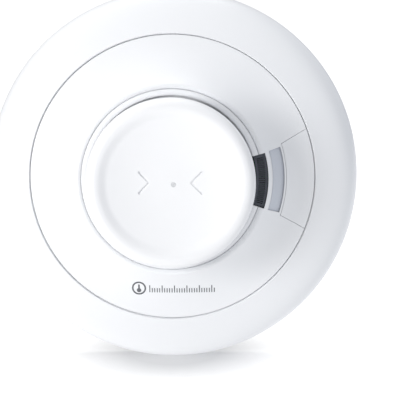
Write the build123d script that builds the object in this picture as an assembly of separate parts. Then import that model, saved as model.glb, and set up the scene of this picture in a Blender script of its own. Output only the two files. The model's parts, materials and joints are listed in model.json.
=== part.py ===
from build123d import *
import math
import os

# Wall-mounted wireless heat detector: a round base ring on a wall plate, and a twist-off head that
# holds two AA cells, the circuit board, the sounder and a thermistor behind a dark side window.
# The head's centre is a dished test button. All sizes are in millimetres.
#
# Every piece is drawn in the head's own coordinates, x to the right, y up and z out from the wall.
# save() turns the finished piece upright: the wall is then the plane Y = 0, the button faces -Y
# and +Z points up.

# ---- driving dimensions -------------------------------------------------------------------------
RING_RADIUS = 60.0          # widest radius of the base ring
RING_WIDEST_Z = 7.5         # height of that widest line above the wall
RING_WALL = 2.2             # wall thickness of the base ring
SEAM_RADIUS = 46.1          # middle of the gap between the base ring and the head
SEAM_GAP = 0.32             # width of that gap
SEAM_DEPTH = 0.6            # depth of the visible groove, down to the ring's inner ledge
SEAM_CLEARANCE = 0.15       # between that ledge and the head
SEAM_Z = 21.0               # height of the ring's and the head's edges at the gap
COVER_WALL = 2.4            # wall thickness of the head cover
RIDGE_RADIUS = 30.9         # where the bell-shaped face of the cover meets its rounded ridge
RIDGE_Z = 31.0
COLLAR_OUTER = 28.97        # collar between the cover and the button
COLLAR_INNER = 26.9
COLLAR_TOP_Z = 31.2
BUTTON_RADIUS = 27.0        # widest radius of the button
BUTTON_WIDEST_Z = 42.8
BUTTON_NECK = 25.9          # the button is narrower where it goes into the collar
BUTTON_CREST_Z = 46.5       # highest point of the whole detector
BUTTON_TRAVEL = 1.0
DISH_RADIUS = 20.0          # foot of the rim round the dish in the button's face
DISH_EDGE_Z = 44.9
DISH_EDGE_SLOPE = 13.0      # degrees
DISH_FLAT_RADIUS = 2.4      # flat middle of the dish, round the light pipe
DISH_Z = 43.1
BUTTON_WALL = 1.8

PLATE_RADIUS = 56.7         # wall plate
PLATE_THICKNESS = 2.2
SCREW_SPACING = 60.0        # distance between the wall plate's two screw slots
SLOT_LENGTH = 9.0
SLOT_RADIUS = 2.25
BAYONET_TWIST = 15.0        # degrees from locked to free
LUG_RADIUS = 49.0
LUG_HALF_ANGLE = 6.0
LUG_ANGLES = (90.0, 210.0, 330.0)

FLOOR_BOTTOM_Z = 2.8        # back face of the head, clear of the wall plate
FLOOR_TOP_Z = 4.4
DECK_BOTTOM_Z = 25.7        # inner deck of the cover, under the button
DECK_TOP_Z = 27.5
BOARD_RADIUS = 36.5
BOARD_Z = 19.6
BOARD_TOP_Z = 21.2

CELL_RADIUS = 7.1           # AA cell
CELL_LENGTH = 50.5
CELL_Z = 11.0
CELL_Y = 7.7
BAY_HALF_LENGTH = 28.6      # inside of the battery tray
BAY_HALF_WIDTH = 15.4
BAY_TOP_Z = 18.5
TRAY_WALL = 1.3
TRAY_TOP_Z = 19.45

SECTOR_TILT = -0.8          # middle of the sensing side, in degrees from +x
WINDOW_OUTER = 31.05
WINDOW_HALF_ANGLE = 16.8
POCKET_INNER = 32.4
POCKET_OUTER = 36.2
POCKET_HALF_ANGLE = 17.0
PANEL_INNER = 36.9          # side panel, a wedge that spreads from here to the seam
PANEL_INNER_ANGLE = 18.2
PANEL_SEAM_ANGLE = 20.8
PANEL_DEPTH = 1.5
PANEL_GAP = 0.1

HOUSING_SCREW_RADIUS = 38.6  # circle of the four screws that close the head
BOARD_POSTS = [(14.0, 30.0), (-14.0, 30.0), (14.0, -30.0), (-14.0, -30.0)]
LEG_RADIUS = 21.8           # circle of the button's four snap legs
LEG_ANGLES = (50.0, 130.0, 230.0, 310.0)
SWITCH_Y = 9.0              # tactile switch, above the middle of the board
PIPE_X = 0.9                # light pipe of the indicator
PIPE_Y = -0.6
PIPE_RADIUS = 0.75
GUIDE_RADIUS = 3.2          # guide tube in the middle of the deck
GUIDE_FIT = 0.07
SPRING_RADIUS = 5.6         # return spring, to the middle of its wire
SPRING_WIRE = 0.35
SOUNDER_X = -15.0
SOUNDER_RADIUS = 8.5
CHEVRON_TIP = 6.7           # the two chevrons engraved in the dish point at the indicator
CHEVRON_END = 9.9
CHEVRON_HALF_HEIGHT = 3.3
CHEVRON_WIDTH = 0.8
CHEVRON_BOTTOM_Z = 42.85

SCREW_ANGLES = (45.0, 135.0, 225.0, 315.0)


# ---- helpers ------------------------------------------------------------------------------------
def slope_curve(start, start_slope, end, end_slope, pull=0.36):
    """A curve in the r-z plane between two points, with a slope in degrees at each end."""
    span = math.dist(start, end) * pull
    a = math.radians(start_slope)
    b = math.radians(end_slope)
    first = (start[0] + span * math.cos(a), start[1] + span * math.sin(a))
    last = (end[0] - span * math.cos(b), end[1] - span * math.sin(b))
    return Bezier(start, first, last, end)


def turned(edges):
    """A solid of revolution about z from a closed list of edges in the r-z plane."""
    return revolve(Plane.XZ * make_face(edges), Axis.Z, 360)


def tube(inner, outer, low, high, x=0.0, y=0.0):
    """A tube, or a full cylinder if inner is 0, standing between two heights."""
    face = Circle(outer)
    if inner:
        face = face - Circle(inner)
    return Pos(x, y, low) * extrude(face, high - low)


def block(x, y, low, size_x, size_y, height):
    """A box centred on x and y that stands on the height low."""
    return Pos(x, y, low + height / 2) * Box(size_x, size_y, height)


def polar(radius, angle):
    """A point given by its radius and its angle in degrees from +x."""
    return (radius * math.cos(math.radians(angle)), radius * math.sin(math.radians(angle)))


def sector(stations, low, high, middle=0.0):
    """A prism symmetric about the angle middle, from one (radius, half angle) to another."""
    inner_radius = stations[0][0]
    outer_radius = stations[1][0]
    right = [polar(radius, middle - half) for radius, half in stations]
    left = [polar(radius, middle + half) for radius, half in reversed(stations)]
    outer_arc = ThreePointArc(right[-1], polar(outer_radius, middle), left[0])
    inner_arc = ThreePointArc(left[-1], polar(inner_radius, middle), right[0])
    outline = [Line(*right), outer_arc, Line(*left), inner_arc]
    return Pos(0, 0, low) * extrude(make_face(outline), high - low)


def coil(radius, wire, height, turns):
    """A coil spring that stands on z = 0, with its outside ends at z = 0 and z = height."""
    rise = height - 2 * wire
    line = Pos(0, 0, wire) * Helix(pitch=rise / turns, height=rise, radius=radius)
    return sweep(Plane(origin=line @ 0, z_dir=line % 0) * Circle(wire), path=line)


def save(name, shape):
    """Turn a piece upright, as it hangs on a wall, and write it as parts/name.step."""
    export_step(Rot(90, 0, 0) * shape, "parts/" + name + ".step")


# ---- outer shapes -------------------------------------------------------------------------------
def cover_face():
    """Edges of the cover's outside in the r-z plane, from the skirt's foot to the bore."""
    skirt = SEAM_RADIUS - SEAM_GAP / 2
    edge = 0.45
    rounding = 1.05
    foot = Line((skirt, FLOOR_TOP_Z), (skirt, SEAM_Z - edge))
    corner = slope_curve((skirt, SEAM_Z - edge), 90, (skirt - edge, SEAM_Z), 163, 0.5)
    bell = slope_curve((skirt - edge, SEAM_Z), 163, (RIDGE_RADIUS, RIDGE_Z), 129)
    ridge = JernArc((RIDGE_RADIUS, RIDGE_Z), (math.cos(math.radians(129)), math.sin(math.radians(129))),
                    rounding, 141)
    return [foot, corner, bell, ridge]


def envelope(lowered=0.0):
    """Everything under the cover's outer surface, as one solid, lowered if asked."""
    edges = cover_face()
    end = edges[-1] @ 1
    top = Line(end, (0, end.Y))
    axis = Line((0, end.Y), (0, FLOOR_TOP_Z))
    bottom = Line((0, FLOOR_TOP_Z), (SEAM_RADIUS - SEAM_GAP / 2, FLOOR_TOP_Z))
    return Pos(0, 0, -lowered) * turned(edges + [top, axis, bottom])


def panel_outline(low, high, gap=0.0):
    """The side panel's outline, from beside the vent to the seam, grown by a gap."""
    inner = PANEL_INNER - gap
    outer = SEAM_RADIUS + 1.0
    stations = [
        (inner, PANEL_INNER_ANGLE + math.degrees(gap / inner)),
        (outer, PANEL_SEAM_ANGLE + math.degrees(gap / outer)),
    ]
    return sector(stations, low, high, SECTOR_TILT)


def pocket_outline(gap=0.0):
    """The vent pocket's outline, shrunk by a gap."""
    half = POCKET_HALF_ANGLE - math.degrees(gap / POCKET_INNER)
    return sector([(POCKET_INNER + gap, half), (POCKET_OUTER - gap, half)], 15, 40, SECTOR_TILT)


def window_cut():
    """The opening through the collar, the ridge and the deck that lets air reach the thermistor."""
    stations = [(COLLAR_INNER - 0.3, WINDOW_HALF_ANGLE), (WINDOW_OUTER, WINDOW_HALF_ANGLE)]
    return sector(stations, BOARD_TOP_Z, 40.0, SECTOR_TILT)


# ---- base ---------------------------------------------------------------------------------------
def wall_plate():
    lip_bottom = 4.9
    lip_top = 6.3
    pillar_inner = LUG_RADIUS + 0.5
    pillar_outer = pillar_inner + 1.6
    lip_inner = SEAM_RADIUS + 0.6
    plate = tube(0, PLATE_RADIUS, 0, PLATE_THICKNESS)
    plate -= tube(52.4, PLATE_RADIUS - 1.0, 1.2, PLATE_THICKNESS)
    plate += tube(20.0, 21.2, PLATE_THICKNESS - 0.2, 2.6)
    for x in (-SCREW_SPACING / 2, SCREW_SPACING / 2):
        plate -= Pos(x, 0, -1) * extrude(SlotOverall(SLOT_LENGTH, 2 * SLOT_RADIUS), 5)
    for angle in LUG_ANGLES:
        hook = LUG_HALF_ANGLE + 1.0
        plate += sector([(pillar_inner, hook), (pillar_outer, hook)], 1.0, lip_top, angle)
        plate += sector([(lip_inner, hook), (pillar_outer, hook)], lip_bottom, lip_top, angle)
        stop = angle - hook - 0.8
        plate += sector([(lip_inner, 1.0), (pillar_outer, 1.0)], 1.0, lip_top, stop)
    return plate


def outer_ring():
    foot_inner = PLATE_RADIUS + 0.15
    foot_outer = RING_RADIUS - 1.2
    inside = RING_RADIUS - RING_WALL
    bore = SEAM_RADIUS + SEAM_GAP / 2
    ledge_bore = SEAM_RADIUS - SEAM_GAP / 2 + SEAM_CLEARANCE
    edge = 0.4
    ledge_inner = 53.0
    ledge_top = PLATE_THICKNESS + 1.4
    rim_bottom = 16.4
    outside = slope_curve((RING_RADIUS, RING_WIDEST_Z), 90, (bore + edge, SEAM_Z), 160, 0.5)
    inner_curve = slope_curve((bore + 1.6, rim_bottom + 1.4), -20, (inside, RING_WIDEST_Z), -90, 0.48)
    edges = [
        Line((foot_inner, 0), (foot_outer, 0)),
        slope_curve((foot_outer, 0), 84, (RING_RADIUS, RING_WIDEST_Z), 90, 0.3),
        outside,
        slope_curve((bore + edge, SEAM_Z), 160, (bore, SEAM_Z - edge), 270, 0.5),
        Line((bore, SEAM_Z - edge), (bore, SEAM_Z - SEAM_DEPTH)),
        Line((bore, SEAM_Z - SEAM_DEPTH), (ledge_bore, SEAM_Z - SEAM_DEPTH)),
        Line((ledge_bore, SEAM_Z - SEAM_DEPTH), (ledge_bore, rim_bottom)),
        Line((ledge_bore, rim_bottom), (bore + 1.6, rim_bottom)),
        Line((bore + 1.6, rim_bottom), (bore + 1.6, rim_bottom + 1.4)),
        inner_curve,
        Line((inside, RING_WIDEST_Z), (inside, ledge_top)),
        Line((inside, ledge_top), (ledge_inner, ledge_top)),
        Line((ledge_inner, ledge_top), (ledge_inner, PLATE_THICKNESS)),
        Line((ledge_inner, PLATE_THICKNESS), (foot_inner, PLATE_THICKNESS)),
        Line((foot_inner, PLATE_THICKNESS), (foot_inner, 0)),
    ]
    return turned(edges)


# ---- head shells --------------------------------------------------------------------------------
def rear_housing():
    radius = SEAM_RADIUS - SEAM_GAP / 2
    wall_outer = radius - COVER_WALL - 0.15
    pillar_top = 6.4
    body = tube(0, radius, FLOOR_BOTTOM_Z, FLOOR_TOP_Z)
    body += tube(wall_outer - 1.8, wall_outer, FLOOR_TOP_Z - 0.2, 11.0)
    for angle in LUG_ANGLES:
        stations = [(radius - 1.0, LUG_HALF_ANGLE), (LUG_RADIUS, LUG_HALF_ANGLE)]
        body += sector(stations, FLOOR_BOTTOM_Z, FLOOR_TOP_Z, angle)
    for angle in SCREW_ANGLES:
        x, y = polar(HOUSING_SCREW_RADIUS, angle)
        body += tube(0, 3.6, FLOOR_BOTTOM_Z, pillar_top, x, y)
    for x, y in BOARD_POSTS:
        body += tube(0, 2.3, FLOOR_TOP_Z - 0.2, BOARD_Z, x, y)
    body -= block(0, 0, 0, 2 * BAY_HALF_LENGTH, 2 * BAY_HALF_WIDTH, 8)
    for angle in SCREW_ANGLES:
        x, y = polar(HOUSING_SCREW_RADIUS, angle)
        body -= tube(0, 2.8, 0, 4.6, x, y)
        body -= tube(0, 1.45, 4, 8, x, y)
    for x, y in BOARD_POSTS:
        body -= tube(0, 0.9, BOARD_Z - 7, BOARD_Z + 1, x, y)
    return body


def head_cover():
    skirt_inner = SEAM_RADIUS - SEAM_GAP / 2 - COVER_WALL
    wall_outer = COLLAR_OUTER + 2.0
    boss_radius = 2.8
    boss_bottom = 6.45
    edges = cover_face()
    bore_top = edges[-1] @ 1
    bore = bore_top.X
    underside = slope_curve((wall_outer, 27.6), -48, (skirt_inner, 18.6), -17)
    edges += [
        Line(bore_top, (bore, DECK_TOP_Z)),
        Line((bore, DECK_TOP_Z), (0, DECK_TOP_Z)),
        Line((0, DECK_TOP_Z), (0, DECK_BOTTOM_Z)),
        Line((0, DECK_BOTTOM_Z), (wall_outer, DECK_BOTTOM_Z)),
        Line((wall_outer, DECK_BOTTOM_Z), (wall_outer, 27.6)),
        underside,
        Line((skirt_inner, 18.6), (skirt_inner, FLOOR_TOP_Z)),
        Line((skirt_inner, FLOOR_TOP_Z), (skirt_inner + COVER_WALL, FLOOR_TOP_Z)),
    ]
    cover = turned(edges)
    bosses = []
    for angle in SCREW_ANGLES:
        x, y = polar(HOUSING_SCREW_RADIUS, angle)
        bosses.append(tube(0, boss_radius, boss_bottom, 30, x, y))
    below_skin = envelope(1.0)
    for boss in bosses:
        cover += boss & below_skin
    for angle in SCREW_ANGLES:
        x, y = polar(HOUSING_SCREW_RADIUS, angle)
        cover -= tube(0, 1.3, boss_bottom - 1, 17, x, y)
    cover += tube(GUIDE_RADIUS - 1.0, GUIDE_RADIUS, DECK_TOP_Z - 0.5, 37.5)
    cover -= tube(0, GUIDE_RADIUS - 1.0, DECK_BOTTOM_Z - 1, 38)
    cover -= tube(0, 2.7, DECK_BOTTOM_Z - 1, DECK_TOP_Z + 1, 0, SWITCH_Y)
    for x in (SOUNDER_X - 3, SOUNDER_X + 3):
        cover -= tube(0, 0.8, DECK_BOTTOM_Z - 1, DECK_TOP_Z + 1, x, 0)
    for angle in LEG_ANGLES:
        slot = block(LEG_RADIUS, 0, DECK_BOTTOM_Z - 1, 3.0, 4.4, 4)
        cover -= Rot(0, 0, angle) * slot
    cover -= window_cut()
    below = envelope(PANEL_DEPTH + 0.03)
    cover -= panel_outline(SEAM_Z - 8, 40, PANEL_GAP) - below
    return cover - (pocket_outline() - below)


def side_panel():
    """Wedge-shaped inlay between the vent and the seam."""
    return panel_outline(15, 40) & (envelope() - envelope(PANEL_DEPTH))


def vent_insert():
    """The grey plate at the bottom of the vent pocket."""
    return pocket_outline(0.08) & (envelope(0.75) - envelope(PANEL_DEPTH))


def sensor_guard():
    """Dark slotted hood over the thermistor; it stands on the circuit board."""
    wall = 0.7
    top = 30.0
    half = WINDOW_HALF_ANGLE - 0.5
    inner = COLLAR_INNER + 0.25
    outer = WINDOW_OUTER - 0.2
    hood = sector([(inner, half), (outer, half)], BOARD_TOP_Z, top, SECTOR_TILT)
    hollow = half - math.degrees(wall / inner)
    hood -= sector([(inner + wall, hollow), (outer - wall, hollow)], BOARD_TOP_Z - 1, top - wall, SECTOR_TILT)
    slots = 25
    pitch = 2 * hollow / slots
    for i in range(slots):
        middle = SECTOR_TILT - hollow + (i + 0.5) * pitch
        slot = [(inner + wall, pitch * 0.22), (outer - wall, pitch * 0.22)]
        hood -= sector(slot, top - 2, top + 1, middle)
    return hood


def inner_collar():
    middle = (COLLAR_INNER + COLLAR_OUTER) / 2
    outer_shoulder = COLLAR_TOP_Z - 0.45
    shoulder = COLLAR_TOP_Z - 0.85
    edges = [
        Line((COLLAR_OUTER, DECK_TOP_Z), (COLLAR_OUTER, outer_shoulder)),
        slope_curve((COLLAR_OUTER, outer_shoulder), 125, (middle, COLLAR_TOP_Z), 180, 0.4),
        slope_curve((middle, COLLAR_TOP_Z), 180, (COLLAR_INNER, shoulder), 270, 0.4),
        Line((COLLAR_INNER, shoulder), (COLLAR_INNER, DECK_TOP_Z)),
        Line((COLLAR_INNER, DECK_TOP_Z), (COLLAR_OUTER, DECK_TOP_Z)),
    ]
    return turned(edges) - window_cut()


# ---- batteries ----------------------------------------------------------------------------------
def battery_tray():
    length = 2 * (BAY_HALF_LENGTH + TRAY_WALL)
    width = 2 * (BAY_HALF_WIDTH + TRAY_WALL)
    tray = block(0, 0, FLOOR_TOP_Z, length, width, TRAY_TOP_Z - FLOOR_TOP_Z)
    tray -= block(0, 0, FLOOR_TOP_Z - 1, 2 * BAY_HALF_LENGTH, 2 * BAY_HALF_WIDTH, BAY_TOP_Z - FLOOR_TOP_Z + 1)
    rib = block(0, 0, 15.2, 44, 0.8, TRAY_TOP_Z - 15.2)
    return tray + rib


def battery(side):
    """One AA cell lying along x, with its raised contact at +x for side 1 and at -x for side -1."""
    nub_length = 1.3
    back = BAY_HALF_LENGTH - 0.75 - CELL_LENGTH
    edges = [
        Polyline((0, 0), (CELL_RADIUS - 1.6, 0), (CELL_RADIUS - 1.6, 0.3), (CELL_RADIUS, 0.3),
                 (CELL_RADIUS, CELL_LENGTH - nub_length - 0.5),
                 (CELL_RADIUS - 0.5, CELL_LENGTH - nub_length),
                 (2.75, CELL_LENGTH - nub_length), (2.75, CELL_LENGTH), (0, CELL_LENGTH), close=True),
    ]
    cell = Pos(back, 0, 0) * (Rot(0, 90, 0) * turned(edges))
    if side < 0:
        cell = Rot(0, 0, 180) * cell
    return Pos(0, side * CELL_Y, CELL_Z) * cell


def battery_contacts():
    """Four spring-steel plates at the ends of the cells, with tails up to the board."""
    plates = []
    for x in (-1, 1):
        for y in (-1, 1):
            plate = block(x * (BAY_HALF_LENGTH - 0.35), y * CELL_Y, 5.0, 0.5, 11.0, 12.6)
            plates.append(plate)
    return Compound(plates)


def battery_springs():
    """A coil spring for the flat end of each cell."""
    length = 2 * BAY_HALF_LENGTH - CELL_LENGTH - 1.55
    springs = []
    for side in (-1, 1):
        spring = Rot(0, 90, 0) * coil(3.4, 0.35, length, 3.5)
        start = -BAY_HALF_LENGTH + 0.65
        spring = Pos(start, 0, 0) * spring
        if side < 0:
            spring = Rot(0, 0, 180) * spring
        springs.append(Pos(0, side * CELL_Y, CELL_Z) * spring)
    return Compound(springs)


# ---- board and electronics ----------------------------------------------------------------------
def circuit_board():
    board = tube(0, BOARD_RADIUS, BOARD_Z, BOARD_TOP_Z)
    for angle in SCREW_ANGLES:
        x, y = polar(HOUSING_SCREW_RADIUS, angle)
        board -= tube(0, 3.2, BOARD_Z - 1, BOARD_TOP_Z + 1, x, y)
    for x, y in BOARD_POSTS:
        board -= tube(0, 1.15, BOARD_Z - 1, BOARD_TOP_Z + 1, x, y)
    return board


def screw(head_radius, head_height, shank_radius, shank_length):
    """A screw with its head's top at z = 0, pointing down, with a cross recess."""
    body = tube(0, head_radius, -head_height, 0)
    body += tube(0, shank_radius, -head_height - shank_length, -head_height)
    depth = head_height * 0.6
    for turn in (0, 90):
        body -= Rot(0, 0, turn) * block(0, 0, -depth, head_radius * 1.2, head_radius * 0.28, depth + 1)
    return body


def housing_screws():
    screws = []
    for angle in SCREW_ANGLES:
        x, y = polar(HOUSING_SCREW_RADIUS, angle)
        upright = Rot(180, 0, 0) * screw(2.55, 1.6, 1.25, 9.5)
        screws.append(Pos(x, y, 3.0) * upright)
    return Compound(screws)


def board_screws():
    screws = [Pos(x, y, BOARD_TOP_Z + 1.2) * screw(1.9, 1.2, 0.85, 6.5) for x, y in BOARD_POSTS]
    return Compound(screws)


def tact_switch():
    body = block(0, SWITCH_Y, BOARD_TOP_Z, 6.2, 6.2, 3.3)
    return body - tube(0, 1.6, 22.3, 26, 0, SWITCH_Y)


def switch_plunger():
    return tube(0, 1.53, 23.45, 26.0, 0, SWITCH_Y)


def microcontroller():
    body = block(-6, -14, BOARD_TOP_Z + 0.1, 7.0, 7.0, 1.0)
    lead = 0.3
    for i in range(8):
        offset = -2.8 + i * 0.8
        body += block(-6 + offset, -14, BOARD_TOP_Z, lead, 9.0, 0.3)
        body += block(-6, -14 + offset, BOARD_TOP_Z, 9.0, lead, 0.3)
    return body


def radio_shield():
    height = 1.8
    can = block(10, -16, BOARD_TOP_Z, 13.0, 10.0, height)
    can -= block(10, -16, BOARD_TOP_Z - 1, 12.4, 9.4, height + 0.7)
    for x in (6.5, 10, 13.5):
        can -= tube(0, 0.45, BOARD_TOP_Z + height - 1, BOARD_TOP_Z + height + 1, x, -16)
    return can


def antenna():
    """Wire aerial along the board's upper edge, on one foot."""
    radius = 34.5
    wire = 0.4
    start = 74.0
    height = BOARD_TOP_Z + 1.0
    section = Plane.XZ * (Pos(radius, height) * Circle(wire))
    loop = Rot(0, 0, start) * revolve(section, Axis.Z, 32)
    foot_x, foot_y = polar(radius, start + 0.7)
    return loop + tube(0, wire, BOARD_TOP_Z, height, foot_x, foot_y)


def capacitors():
    cans = []
    for x, y in ((-24, 14), (-27, 6)):
        cans.append(tube(0, 2.0, BOARD_TOP_Z, BOARD_TOP_Z + 2.4, x, y))
    return Compound(cans)


def chip_parts():
    """Small resistors and ceramic capacitors on the board, in two rows."""
    chips = []
    for i in range(6):
        chips.append(block(-16 + i * 3.0, -22, BOARD_TOP_Z, 2.0, 1.2, 0.55))
    for i in range(5):
        chips.append(block(8.0, 4.0 - i * 2.6, BOARD_TOP_Z, 2.0, 1.2, 0.55))
    return Compound(chips)


def crystal():
    return extrude(Pos(-14.5, -14) * SlotOverall(7.0, 3.4), 1.8).moved(Location((0, 0, BOARD_TOP_Z)))


def status_led():
    body = block(PIPE_X, PIPE_Y, BOARD_TOP_Z, 2.0, 1.4, 0.6)
    return body + tube(0, 0.6, BOARD_TOP_Z + 0.5, BOARD_TOP_Z + 1.1, PIPE_X, PIPE_Y)


def thermistor():
    """Glass bead on two stiff leads, in the middle of the window."""
    x, y = polar((COLLAR_INNER + WINDOW_OUTER) / 2, SECTOR_TILT)
    bead_z = 27.9
    bead = Pos(x, y, bead_z) * Sphere(1.05)
    for side in (-0.55, 0.55):
        bead += tube(0, 0.22, BOARD_TOP_Z, bead_z, x, y + side)
    return bead


def sounder_housing():
    """Resonator cup over the piezo disc, with a sound port in its roof."""
    roof = 34.5
    cup = tube(0, SOUNDER_RADIUS, DECK_TOP_Z, roof, SOUNDER_X, 0)
    cup -= tube(0, SOUNDER_RADIUS - 1.0, DECK_TOP_Z - 1, roof - 1.0, SOUNDER_X, 0)
    cup += tube(SOUNDER_RADIUS - 2.0, SOUNDER_RADIUS - 0.5, 29.1, 30.0, SOUNDER_X, 0)
    return cup - tube(0, 1.6, roof - 2, roof + 1, SOUNDER_X, 0)


def piezo_disc():
    disc = tube(0, SOUNDER_RADIUS - 1.1, 28.65, 28.9, SOUNDER_X, 0)
    return disc + tube(0, SOUNDER_RADIUS - 3.0, 28.9, 29.05, SOUNDER_X, 0)


def sounder_pins():
    pins = [tube(0, 0.45, BOARD_TOP_Z, 28.6, x, 0) for x in (SOUNDER_X - 3, SOUNDER_X + 3)]
    return Compound(pins)


# ---- button -------------------------------------------------------------------------------------
def button_skin():
    """Edges of the button's outside in the r-z plane, from the foot of its neck to its middle."""
    foot_z = DECK_TOP_Z + BUTTON_TRAVEL + 0.4
    crest_radius = 24.0
    neck = Line((BUTTON_NECK, foot_z), (BUTTON_NECK, 32.5))
    flare = slope_curve((BUTTON_NECK, 32.5), 90, (BUTTON_RADIUS, BUTTON_WIDEST_Z), 90, 0.4)
    rim = slope_curve((BUTTON_RADIUS, BUTTON_WIDEST_Z), 90, (crest_radius, BUTTON_CREST_Z), 180, 0.42)
    fall = slope_curve((crest_radius, BUTTON_CREST_Z), 180, (DISH_RADIUS, DISH_EDGE_Z), 180 + DISH_EDGE_SLOPE, 0.42)
    dish = slope_curve((DISH_RADIUS, DISH_EDGE_Z), 180 + DISH_EDGE_SLOPE, (DISH_FLAT_RADIUS, DISH_Z), 180)
    flat = Line((DISH_FLAT_RADIUS, DISH_Z), (0, DISH_Z))
    return [neck, flare, rim, fall, dish, flat]


def chevron(side):
    """A V-shaped stroke with round ends, its tip towards the middle."""
    tip = (side * CHEVRON_TIP, 0)
    stroke = None
    for end_y in (-CHEVRON_HALF_HEIGHT, CHEVRON_HALF_HEIGHT):
        end = (side * CHEVRON_END, end_y)
        length = math.dist(tip, end)
        angle = math.degrees(math.atan2(end[1] - tip[1], end[0] - tip[0]))
        middle = ((tip[0] + end[0]) / 2, (tip[1] + end[1]) / 2)
        arm = Pos(*middle) * (Rot(0, 0, angle) * SlotOverall(length + CHEVRON_WIDTH, CHEVRON_WIDTH))
        stroke = arm if stroke is None else stroke + arm
    return Pos(0, 0, CHEVRON_BOTTOM_Z) * extrude(stroke, 2)


def test_button():
    roof = 42.0
    inside = BUTTON_NECK - BUTTON_WALL
    edges = button_skin()
    foot_z = (edges[0] @ 0).Y
    edges += [
        Line((0, DISH_Z), (0, foot_z)),
        Line((0, foot_z), (BUTTON_NECK, foot_z)),
    ]
    solid = turned(edges)
    hollow = turned([
        Line((0, foot_z - 1), (inside, foot_z - 1)),
        Line((inside, foot_z - 1), (inside, roof - 2)),
        slope_curve((inside, roof - 2), 90, (inside - 2, roof), 180, 0.5),
        Line((inside - 2, roof), (0, roof)),
        Line((0, roof), (0, foot_z - 1)),
    ])
    button = solid - hollow
    sleeve = GUIDE_RADIUS + GUIDE_FIT
    button += tube(sleeve, sleeve + 1.0, 31.0, roof + 0.3)
    button += tube(0, 2.0, 26.05, roof + 0.3, 0, SWITCH_Y)
    for angle in LEG_ANGLES:
        leg = block(LEG_RADIUS - 0.4, 0, DECK_BOTTOM_Z - 1.2, 1.4, 3.4, roof + 0.5 - DECK_BOTTOM_Z + 1.2)
        leg += block(LEG_RADIUS + 0.55, 0, DECK_BOTTOM_Z - 1.2, 2.3, 3.4, 1.0)
        button += Rot(0, 0, angle) * leg
    button -= tube(0, PIPE_RADIUS + 0.03, 30, 50, PIPE_X, PIPE_Y)
    for side in (-1, 1):
        button -= chevron(side)
    return button


def light_pipe():
    """Clear rod from above the indicator up to the middle of the dish."""
    foot = BOARD_TOP_Z + 1.1 + BUTTON_TRAVEL + 0.4
    return tube(0, PIPE_RADIUS, foot, DISH_Z + 0.05, PIPE_X, PIPE_Y)


def return_spring():
    return Pos(0, 0, DECK_TOP_Z + 0.05) * coil(SPRING_RADIUS, SPRING_WIRE, 14.4, 7)


PIECES = {
    "wall_plate": wall_plate,
    "outer_ring": outer_ring,
    "rear_housing": rear_housing,
    "head_cover": head_cover,
    "side_panel": side_panel,
    "vent_insert": vent_insert,
    "sensor_guard": sensor_guard,
    "inner_collar": inner_collar,
    "battery_tray": battery_tray,
    "battery_contacts": battery_contacts,
    "battery_springs": battery_springs,
    "circuit_board": circuit_board,
    "housing_screws": housing_screws,
    "board_screws": board_screws,
    "tact_switch": tact_switch,
    "switch_plunger": switch_plunger,
    "microcontroller": microcontroller,
    "radio_shield": radio_shield,
    "antenna": antenna,
    "capacitors": capacitors,
    "chip_parts": chip_parts,
    "crystal": crystal,
    "status_led": status_led,
    "thermistor": thermistor,
    "sounder_housing": sounder_housing,
    "piezo_disc": piezo_disc,
    "sounder_pins": sounder_pins,
    "test_button": test_button,
    "light_pipe": light_pipe,
    "return_spring": return_spring,
}

os.makedirs("parts", exist_ok=True)
for piece_name, make_piece in PIECES.items():
    save(piece_name, make_piece())
save("battery_1", battery(1))
save("battery_2", battery(-1))
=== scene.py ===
import json
import math

import bmesh
import bpy
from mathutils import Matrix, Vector
from mathutils.bvhtree import BVHTree


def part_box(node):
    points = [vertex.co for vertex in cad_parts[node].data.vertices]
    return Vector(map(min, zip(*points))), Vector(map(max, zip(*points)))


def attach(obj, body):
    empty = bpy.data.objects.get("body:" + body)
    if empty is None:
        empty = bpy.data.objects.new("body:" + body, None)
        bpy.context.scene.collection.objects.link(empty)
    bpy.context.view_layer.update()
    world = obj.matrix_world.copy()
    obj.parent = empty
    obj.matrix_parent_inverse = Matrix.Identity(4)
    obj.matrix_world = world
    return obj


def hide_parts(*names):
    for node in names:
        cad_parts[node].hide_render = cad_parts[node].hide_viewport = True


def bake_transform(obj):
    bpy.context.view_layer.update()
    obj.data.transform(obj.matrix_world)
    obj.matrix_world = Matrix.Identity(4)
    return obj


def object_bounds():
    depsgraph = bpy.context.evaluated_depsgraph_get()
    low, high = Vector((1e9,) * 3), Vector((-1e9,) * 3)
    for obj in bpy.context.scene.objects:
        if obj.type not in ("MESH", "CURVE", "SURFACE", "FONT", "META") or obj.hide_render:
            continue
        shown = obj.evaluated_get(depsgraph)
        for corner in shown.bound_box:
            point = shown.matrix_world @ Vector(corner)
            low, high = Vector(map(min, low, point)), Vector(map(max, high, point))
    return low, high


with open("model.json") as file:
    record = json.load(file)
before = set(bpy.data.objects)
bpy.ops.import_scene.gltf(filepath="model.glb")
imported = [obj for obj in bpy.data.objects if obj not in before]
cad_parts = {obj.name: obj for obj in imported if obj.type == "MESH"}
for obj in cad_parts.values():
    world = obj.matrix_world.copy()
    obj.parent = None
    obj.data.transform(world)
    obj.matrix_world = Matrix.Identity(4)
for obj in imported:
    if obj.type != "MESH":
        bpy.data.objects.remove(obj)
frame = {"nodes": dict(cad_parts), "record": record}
cad_low, cad_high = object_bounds()

MM = 0.001

# ---- camera, in the row frame: -Y faces the viewer, +Z is up ---------------------------------------
CAMERA_AZIMUTH = 1.0
CAMERA_ELEVATION = 5.6
CAMERA_DISTANCE = 1.0
VIEW_WIDTH = 0.1311          # metres that the picture spans at the aim point
AIM = Vector((0.0087, -0.0075, -0.0089))
SENSOR = 36.0

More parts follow.
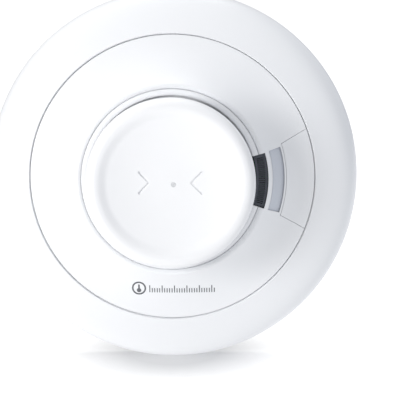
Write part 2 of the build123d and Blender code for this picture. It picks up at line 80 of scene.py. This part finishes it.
# ---- light: what the room adds evenly, and from some sides (axis, where it is full, colour) ----------
WORLD_EVEN = (0.21, 0.21, 0.213)
WORLD_SIDES = (
    ("X", 1.0, (0.16, 0.19, 0.24)),
    ("Z", 1.0, (0.90, 0.90, 0.90)),
    ("Z", -1.0, (1.25, 1.25, 1.25)),
)
FLOOR_FAR_GLOW = 0.52       # the floor glows this much away from the object, so that it stays white there; near the object it glows less, a painted shadow
# the floor's glow rises from nothing at the first distance from the object to full at the second, which
# paints a soft shadow around the object
FLOOR_GLOW_START = 0.03
FLOOR_GLOW_END = 0.08
PAINTED_SHADOW_NARROW = 2.0      # the painted shadow patch, where the floor glows less, is this many times deeper than wide


# ---- materials --------------------------------------------------------------------------------------
PLASTIC_IOR = 1.49


def new_material(name):
    """A material with its node tree and its Principled shader."""
    material = bpy.data.materials.new(name)
    material.use_nodes = True
    tree = material.node_tree
    shader = tree.nodes["Principled BSDF"]
    return material, tree, shader


def add_node(tree, kind, **inputs):
    """A node with some of its inputs set by name, spaces in a name written as underscores."""
    node = tree.nodes.new(kind)
    for key, value in inputs.items():
        node.inputs[key.replace("_", " ")].default_value = value
    return node


def object_coordinates(tree, scale=(1, 1, 1)):
    """The piece's own coordinates in metres, stretched along its axes."""
    source = tree.nodes.new("ShaderNodeTexCoord")
    mapping = add_node(tree, "ShaderNodeMapping", Scale=scale)
    tree.links.new(source.outputs["Object"], mapping.inputs["Vector"])
    return mapping.outputs["Vector"]


def noise(tree, vector, scale, detail=3.0, roughness=0.5):
    node = add_node(tree, "ShaderNodeTexNoise", Scale=scale, Detail=detail, Roughness=roughness)
    tree.links.new(vector, node.inputs["Vector"])
    return node.outputs["Fac"]


def spread(tree, value, low, high, from_low=0.3, from_high=0.7):
    """value taken from one range to another, as a number."""
    node = add_node(
        tree, "ShaderNodeMapRange", From_Min=from_low, From_Max=from_high, To_Min=low, To_Max=high
    )
    tree.links.new(value, node.inputs["Value"])
    return node.outputs["Result"]


def blend_colours(tree, factor, first, second):
    """A colour between two colours or sockets."""
    node = tree.nodes.new("ShaderNodeMix")
    node.data_type = "RGBA"
    tree.links.new(factor, node.inputs["Factor"])
    for key, colour in (("A", first), ("B", second)):
        socket = [s for s in node.inputs if s.name == key and s.type == "RGBA"][0]
        if hasattr(colour, "links"):
            tree.links.new(colour, socket)
        else:
            socket.default_value = (*colour, 1.0)
    return [s for s in node.outputs if s.type == "RGBA"][0]


def add_bump(tree, shader, height, distance, strength=1.0):
    node = add_node(tree, "ShaderNodeBump", Strength=strength, Distance=distance)
    tree.links.new(height, node.inputs["Height"])
    tree.links.new(node.outputs["Normal"], shader.inputs["Normal"])


def moulded_plastic(name, colour, roughness, grain=0.000008, grain_scale=2600.0, tint=0.02):
    """Injection-moulded plastic: faint cloudiness, uneven gloss and fine spark-eroded grain."""
    material, tree, shader = new_material(name)
    at = object_coordinates(tree)
    cloud = noise(tree, at, 55.0, 4.0)
    darker = tuple(c * (1 - tint) for c in colour)
    tree.links.new(blend_colours(tree, cloud, darker, colour), shader.inputs["Base Color"])
    smear = noise(tree, at, 190.0, 5.0, 0.6)
    tree.links.new(spread(tree, smear, roughness * 0.88, roughness * 1.14), shader.inputs["Roughness"])
    grain_map = noise(tree, at, grain_scale, 2.0)
    add_bump(tree, shader, grain_map, grain)
    shader.inputs["IOR"].default_value = PLASTIC_IOR
    return material


def brushed_metal(name, colour, roughness, stretch=(40, 900, 900)):
    """Rolled or drawn metal with fine lines along one axis."""
    material, tree, shader = new_material(name)
    at = object_coordinates(tree, stretch)
    lines = noise(tree, at, 4.0, 6.0, 0.65)
    darker = tuple(c * 0.82 for c in colour)
    tree.links.new(blend_colours(tree, lines, darker, colour), shader.inputs["Base Color"])
    tree.links.new(spread(tree, lines, roughness * 0.75, roughness * 1.3), shader.inputs["Roughness"])
    add_bump(tree, shader, lines, 0.000006)
    shader.inputs["Metallic"].default_value = 1.0
    return material


def clear_plastic(name, colour, roughness, clarity=0.7):
    material, tree, shader = new_material(name)
    at = object_coordinates(tree)
    cloud = noise(tree, at, 900.0, 3.0)
    tree.links.new(spread(tree, cloud, roughness * 0.7, roughness * 1.4), shader.inputs["Roughness"])
    darker = tuple(c * 0.93 for c in colour)
    tree.links.new(blend_colours(tree, cloud, darker, colour), shader.inputs["Base Color"])
    shader.inputs["Transmission Weight"].default_value = clarity
    shader.inputs["IOR"].default_value = PLASTIC_IOR
    return material


def solder_mask(name):
    """Green board with lighter copper tracks under the mask and a slightly orange-peel gloss."""
    material, tree, shader = new_material(name)
    at = object_coordinates(tree)
    tracks = add_node(
        tree, "ShaderNodeTexBrick", Scale=170.0, Mortar_Size=0.035, Row_Height=0.42, Brick_Width=1.3
    )
    flat = add_node(tree, "ShaderNodeMapping", Rotation=(math.radians(90), 0, 0))
    tree.links.new(at, flat.inputs["Vector"])
    tree.links.new(flat.outputs["Vector"], tracks.inputs["Vector"])
    tone = blend_colours(tree, noise(tree, at, 120.0), (0.010, 0.085, 0.040), (0.016, 0.12, 0.055))
    track_colour = blend_colours(tree, tracks.outputs["Fac"], tone, (0.045, 0.24, 0.10))
    tree.links.new(track_colour, shader.inputs["Base Color"])
    tree.links.new(spread(tree, noise(tree, at, 400.0), 0.24, 0.38), shader.inputs["Roughness"])
    add_bump(tree, shader, tracks.outputs["Fac"], 0.00002)
    return material


def cell_sleeve(name, node, side):
    """Printed sleeve with bare metal at both ends and a copper-coloured band at the raised end."""
    low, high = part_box(node)
    material, tree, shader = new_material(name)
    source = tree.nodes.new("ShaderNodeTexCoord")
    split = tree.nodes.new("ShaderNodeSeparateXYZ")
    tree.links.new(source.outputs["Object"], split.inputs["Vector"])
    along = add_node(tree, "ShaderNodeMapRange", To_Min=0.0, To_Max=1.0)
    ends = (low.x, high.x) if side > 0 else (high.x, low.x)
    along.inputs["From Min"].default_value = ends[0]
    along.inputs["From Max"].default_value = ends[1]
    tree.links.new(split.outputs["X"], along.inputs["Value"])
    ramp = tree.nodes.new("ShaderNodeValToRGB")
    ramp.color_ramp.interpolation = "CONSTANT"
    bands = (
        (0.0, (0.62, 0.62, 0.63)),
        (0.02, (0.035, 0.04, 0.05)),
        (0.70, (0.60, 0.30, 0.12)),
        (0.955, (0.62, 0.62, 0.63)),
    )
    ramp.color_ramp.elements[0].color = (*bands[0][1], 1)
    ramp.color_ramp.elements[1].position = bands[1][0]
    ramp.color_ramp.elements[1].color = (*bands[1][1], 1)
    for place, colour in bands[2:]:
        ramp.color_ramp.elements.new(place).color = (*colour, 1)
    tree.links.new(along.outputs["Result"], ramp.inputs["Fac"])
    at = object_coordinates(tree)
    scuffs = noise(tree, at, 320.0, 6.0, 0.7)
    wear = spread(tree, scuffs, 0.0, 0.18, 0.55, 0.75)
    worn = blend_colours(tree, wear, ramp.outputs["Color"], (0.5, 0.5, 0.5))
    tree.links.new(worn, shader.inputs["Base Color"])
    tree.links.new(spread(tree, scuffs, 0.22, 0.42), shader.inputs["Roughness"])
    shader.inputs["Metallic"].default_value = 0.6
    return material


SHELL_WHITE = (0.84, 0.85, 0.87)
BUTTON_WHITE = (0.86, 0.865, 0.88)
CHASSIS_WHITE = (0.72, 0.73, 0.73)

MATERIALS = {
    "shell_white": (moulded_plastic, SHELL_WHITE, 0.34),
    "button_white": (moulded_plastic, BUTTON_WHITE, 0.40),
    "chassis_white": (moulded_plastic, CHASSIS_WHITE, 0.55, 0.00002, 1500.0, 0.05),
    # painted shade: the vent insert's grey stands in for the shade inside the recess beside the window
    "vent_grey": (moulded_plastic, (0.60, 0.63, 0.69), 0.5, 0.00002, 1800.0, 0.06),
    "guard_dark": (moulded_plastic, (0.062, 0.070, 0.088), 0.5, 0.00002, 1800.0, 0.2),
    "spring_steel": (brushed_metal, (0.62, 0.62, 0.61), 0.3),
    "screw_steel": (brushed_metal, (0.55, 0.56, 0.58), 0.34, (400, 400, 400)),
    "board_green": (solder_mask,),
    "chip_black": (moulded_plastic, (0.02, 0.02, 0.022), 0.55, 0.00002, 3000.0, 0.25),
    "shield_tin": (brushed_metal, (0.68, 0.68, 0.68), 0.28),
    "aerial_copper": (brushed_metal, (0.78, 0.36, 0.20), 0.3, (300, 300, 300)),
    "can_aluminium": (brushed_metal, (0.72, 0.72, 0.73), 0.32, (600, 60, 600)),
    "chip_part_body": (moulded_plastic, (0.09, 0.07, 0.06), 0.5, 0.00001, 3000.0, 0.3),
    "led_lens": (clear_plastic, (0.85, 0.82, 0.70), 0.12),
    "thermistor_glass": (clear_plastic, (0.16, 0.15, 0.14), 0.15, 0.3),
    "sounder_black": (moulded_plastic, (0.03, 0.03, 0.032), 0.45, 0.00002, 2000.0, 0.2),
    "piezo_brass": (brushed_metal, (0.74, 0.52, 0.20), 0.3, (500, 40, 500)),
    "plunger_white": (moulded_plastic, (0.70, 0.70, 0.66), 0.3),
    "pipe_clear": (clear_plastic, (0.74, 0.75, 0.77), 0.25, 0.12),
}


def slot_material(name):
    """A new material for a slot, made by the slot's function from its values."""
    make = MATERIALS[name][0]
    return make(name, *MATERIALS[name][1:])


def finish_cad_nodes():
    """Every CAD node gets the material of its slot."""
    made = {}
    for row in frame["record"]["subparts"]:
        node = frame["nodes"][row["node"]]
        name = row["material_slot"]
        if name == "cell_jacket":
            side = 1 if row["node"] == "battery_1" else -1
            material = cell_sleeve("cell_jacket_" + row["node"], row["node"], side)
        else:
            if name not in made:
                made[name] = slot_material(name)
            material = made[name]
        node.data.materials.clear()
        node.data.materials.append(material)


# ---- printed scale on the cover, in mm in the x-z plane ---------------------------------------------
MARK_BADGE = (-10.7, -35.8)
MARK_BADGE_RADIUS = 2.3
MARK_SCALE_START = -7.2
MARK_SCALE_Z = -37.2
MARK_TICKS = 27
MARK_PITCH = 0.8
BADGE_LINE = 0.5
BULB_RADIUS = 0.72
BULB_DROP = 0.75            # how far the bulb's middle is below the badge's middle
STEM_HEIGHT = 1.6
TICK_WIDTH = 0.3
SHORT_TICK = 1.5
LONG_TICK = 2.5
LONG_TICK_EVERY = 5
INK = 0.03                  # the print stands this far out of the cover, and goes as far into it


def ring_strips(x, z, inner, outer, steps=48):
    """Quads of a flat ring."""
    quads = []
    for i in range(steps):
        a = 2 * math.pi * i / steps
        b = 2 * math.pi * (i + 1) / steps
        quads.append([
            (x + inner * math.cos(a), z + inner * math.sin(a)),
            (x + outer * math.cos(a), z + outer * math.sin(a)),
            (x + outer * math.cos(b), z + outer * math.sin(b)),
            (x + inner * math.cos(b), z + inner * math.sin(b)),
        ])
    return quads


def bar(x, z, width, height, rows=3):
    """Quads of an upright bar that stands centred on x with its foot at z."""
    step = height / rows
    quads = []
    for i in range(rows):
        low = z + i * step
        quads.append([
            (x - width / 2, low), (x + width / 2, low),
            (x + width / 2, low + step), (x - width / 2, low + step),
        ])
    return quads


def printed_scale():
    """A round thermometer badge and a graduated scale, printed on the cover below the button."""
    x, z = MARK_BADGE
    quads = ring_strips(x, z, MARK_BADGE_RADIUS - BADGE_LINE, MARK_BADGE_RADIUS)
    quads += ring_strips(x, z - BULB_DROP, 0.05, BULB_RADIUS, 24)
    quads += bar(x, z - 0.35, BADGE_LINE, STEM_HEIGHT)
    for i in range(MARK_TICKS):
        height = LONG_TICK if i % LONG_TICK_EVERY == 0 else SHORT_TICK
        quads += bar(MARK_SCALE_START + i * MARK_PITCH, MARK_SCALE_Z, TICK_WIDTH, height)
    cover = BVHTree.FromObject(frame["nodes"]["head_cover"], bpy.context.evaluated_depsgraph_get())
    mesh = bmesh.new()
    for quad in quads:
        front = []
        back = []
        for corner_x, corner_z in quad:
            start = Vector((corner_x * MM, -0.2, corner_z * MM))
            hit, normal, _, _ = cover.ray_cast(start, Vector((0, 1, 0)))
            if normal.y > 0:
                normal = -normal
            front.append(mesh.verts.new(hit + normal * INK * MM))
            back.append(mesh.verts.new(hit - normal * INK * MM))
        mesh.faces.new(front)
        mesh.faces.new(back[::-1])
        for i in range(4):
            mesh.faces.new([front[i - 1], back[i - 1], back[i], front[i]])
    bmesh.ops.remove_doubles(mesh, verts=mesh.verts, dist=0.002 * MM)
    bmesh.ops.recalc_face_normals(mesh, faces=mesh.faces)
    data = bpy.data.meshes.new("printed_scale")
    mesh.to_mesh(data)
    mesh.free()
    piece = bpy.data.objects.new("printed_scale", data)
    bpy.context.scene.collection.objects.link(piece)
    data.materials.append(moulded_plastic("ink", (0.12, 0.125, 0.14), 0.5, 0.000004, 6000.0, 0.2))
    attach(piece, "head")


# ---- return spring, as a round wire with a closed coil at each end -----------------------------------
SPRING_WIRE = 0.35
SPRING_TURNS = 7.5
SPRING_END_TURNS = 0.8
SPRING_STEPS_PER_TURN = 40
SPRING_SIDES = 10


def return_spring():
    """The spring stands on the head and is pressed by the button; this coil is built at the CAD spring's
    length.
    """
    low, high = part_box("return_spring")
    wire = SPRING_WIRE * MM
    radius = (high.x - low.x) / 2 - wire
    length = high.y - low.y - 2 * wire
    open_share = 1 - 4 * wire * SPRING_END_TURNS / length
    ends = SPRING_END_TURNS / SPRING_TURNS
    steps = int(SPRING_TURNS * SPRING_STEPS_PER_TURN)

    def middle(u):
        closed = (min(u, ends) + max(u - 1 + ends, 0)) / (2 * ends)
        opened = min(max(u - ends, 0), 1 - 2 * ends) / (1 - 2 * ends)
        rise = length * (closed * (1 - open_share) + opened * open_share)
        turn = 2 * math.pi * SPRING_TURNS * u
        return Vector((radius * math.cos(turn), high.y - wire - rise, radius * math.sin(turn)))

    mesh = bmesh.new()
    rings = []
    for i in range(steps + 1):
        u = i / steps
        point = middle(u)
        along = (middle(min(u + 0.001, 1)) - middle(max(u - 0.001, 0))).normalized()
        outward = Vector((point.x, 0, point.z)).normalized()
        across = along.cross(outward).normalized()
        ring = []
        for k in range(SPRING_SIDES):
            a = 2 * math.pi * k / SPRING_SIDES
            ring.append(mesh.verts.new(point + wire * (math.cos(a) * outward + math.sin(a) * across)))
        rings.append(ring)
    for before, after in zip(rings, rings[1:]):
        for k in range(SPRING_SIDES):
            mesh.faces.new([before[k - 1], before[k], after[k], after[k - 1]])
    mesh.faces.new(rings[0])
    mesh.faces.new(rings[-1][::-1])
    bmesh.ops.recalc_face_normals(mesh, faces=mesh.faces)
    data = bpy.data.meshes.new("return_spring_coil")
    mesh.to_mesh(data)
    mesh.free()
    data.polygons.foreach_set("use_smooth", [True] * len(data.polygons))
    piece = bpy.data.objects.new("return_spring_coil", data)
    bpy.context.scene.collection.objects.link(piece)
    data.materials.append(slot_material("spring_steel"))
    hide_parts("return_spring")
    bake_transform(piece)


# ---- stage ------------------------------------------------------------------------------------------
def add_camera():
    azimuth = math.radians(CAMERA_AZIMUTH)
    elevation = math.radians(CAMERA_ELEVATION)
    back = Vector((
        math.sin(azimuth) * math.cos(elevation),
        -math.cos(azimuth) * math.cos(elevation),
        math.sin(elevation),
    ))
    data = bpy.data.cameras.new("camera")
    data.sensor_width = SENSOR
    data.lens = SENSOR * CAMERA_DISTANCE / VIEW_WIDTH
    data.clip_end = 20.0
    camera = bpy.data.objects.new("camera", data)
    camera.location = AIM + back * CAMERA_DISTANCE
    camera.rotation_mode = "QUATERNION"
    camera.rotation_quaternion = (-back).to_track_quat("-Z", "Y")
    bpy.context.scene.collection.objects.link(camera)
    bpy.context.scene.camera = camera


def add_light(name, place, size, power):
    """A round soft light that faces the middle of the detector."""
    data = bpy.data.lights.new(name, "AREA")
    data.shape = "DISK"
    data.size = size
    data.energy = power
    light = bpy.data.objects.new(name, data)
    light.location = place
    light.rotation_mode = "QUATERNION"
    light.rotation_quaternion = (-Vector(place)).to_track_quat("-Z", "Y")
    bpy.context.scene.collection.objects.link(light)


def add_world():
    """White to the camera; as light, an even pale room that is brighter at one side (+X), overhead and
    below.
    """
    world = bpy.data.worlds.new("studio")
    world.use_nodes = True
    bpy.context.scene.world = world
    tree = world.node_tree
    background = tree.nodes["Background"]
    source = tree.nodes.new("ShaderNodeTexCoord")
    split = tree.nodes.new("ShaderNodeSeparateXYZ")
    tree.links.new(source.outputs["Generated"], split.inputs["Vector"])
    total = None
    for axis, reach, colour in WORLD_SIDES:
        lobe = spread(tree, split.outputs[axis], 0.0, 1.0, 0.0, reach)
        tinted = tree.nodes.new("ShaderNodeVectorMath")
        tinted.operation = "MULTIPLY_ADD"
        tinted.inputs[0].default_value = colour
        tree.links.new(lobe, tinted.inputs[1])
        if total is None:
            tinted.inputs[2].default_value = WORLD_EVEN
        else:
            tree.links.new(total, tinted.inputs[2])
        total = tinted.outputs["Vector"]
    path = tree.nodes.new("ShaderNodeLightPath")
    seen = blend_colours(tree, path.outputs["Is Camera Ray"], total, (1.0, 1.0, 1.0))
    tree.links.new(seen, background.inputs["Color"])


def add_floor():
    """A pale floor with a painted shadow near the object, where its glow fades out. The room's light from
    below stands in for its bounce, so diffuse rays don't see it.
    """
    bpy.ops.mesh.primitive_plane_add(size=8.0, location=(0, 0, cad_low.z))
    floor = bpy.context.active_object
    floor.name = "floor"
    material, tree, shader = new_material("floor")
    at = object_coordinates(tree)
    tone = blend_colours(tree, noise(tree, at, 3.0), (0.73, 0.73, 0.735), (0.75, 0.75, 0.75))
    tree.links.new(tone, shader.inputs["Base Color"])
    shader.inputs["Roughness"].default_value = 0.6
    # painted shadow: the glow grows with distance from the object, so the floor is darker close to it
    away = tree.nodes.new("ShaderNodeVectorMath")
    away.operation = "LENGTH"
    tree.links.new(object_coordinates(tree, (PAINTED_SHADOW_NARROW, 1, 1)), away.inputs[0])
    glow = spread(tree, away.outputs["Value"], 0.0, FLOOR_FAR_GLOW, FLOOR_GLOW_START, FLOOR_GLOW_END)
    shader.inputs["Emission Color"].default_value = (1.0, 1.0, 1.0, 1.0)
    tree.links.new(glow, shader.inputs["Emission Strength"])
    floor.data.materials.append(material)
    floor.visible_diffuse = False


finish_cad_nodes()
printed_scale()
return_spring()
add_camera()
add_world()
add_floor()
add_light("key", (-0.86, -0.93, 0.12), 0.5, 10.4)
add_light("top", (0.0, 0.35, 1.20), 0.7, 2.5)
bpy.context.scene.view_settings.view_transform = "Standard"
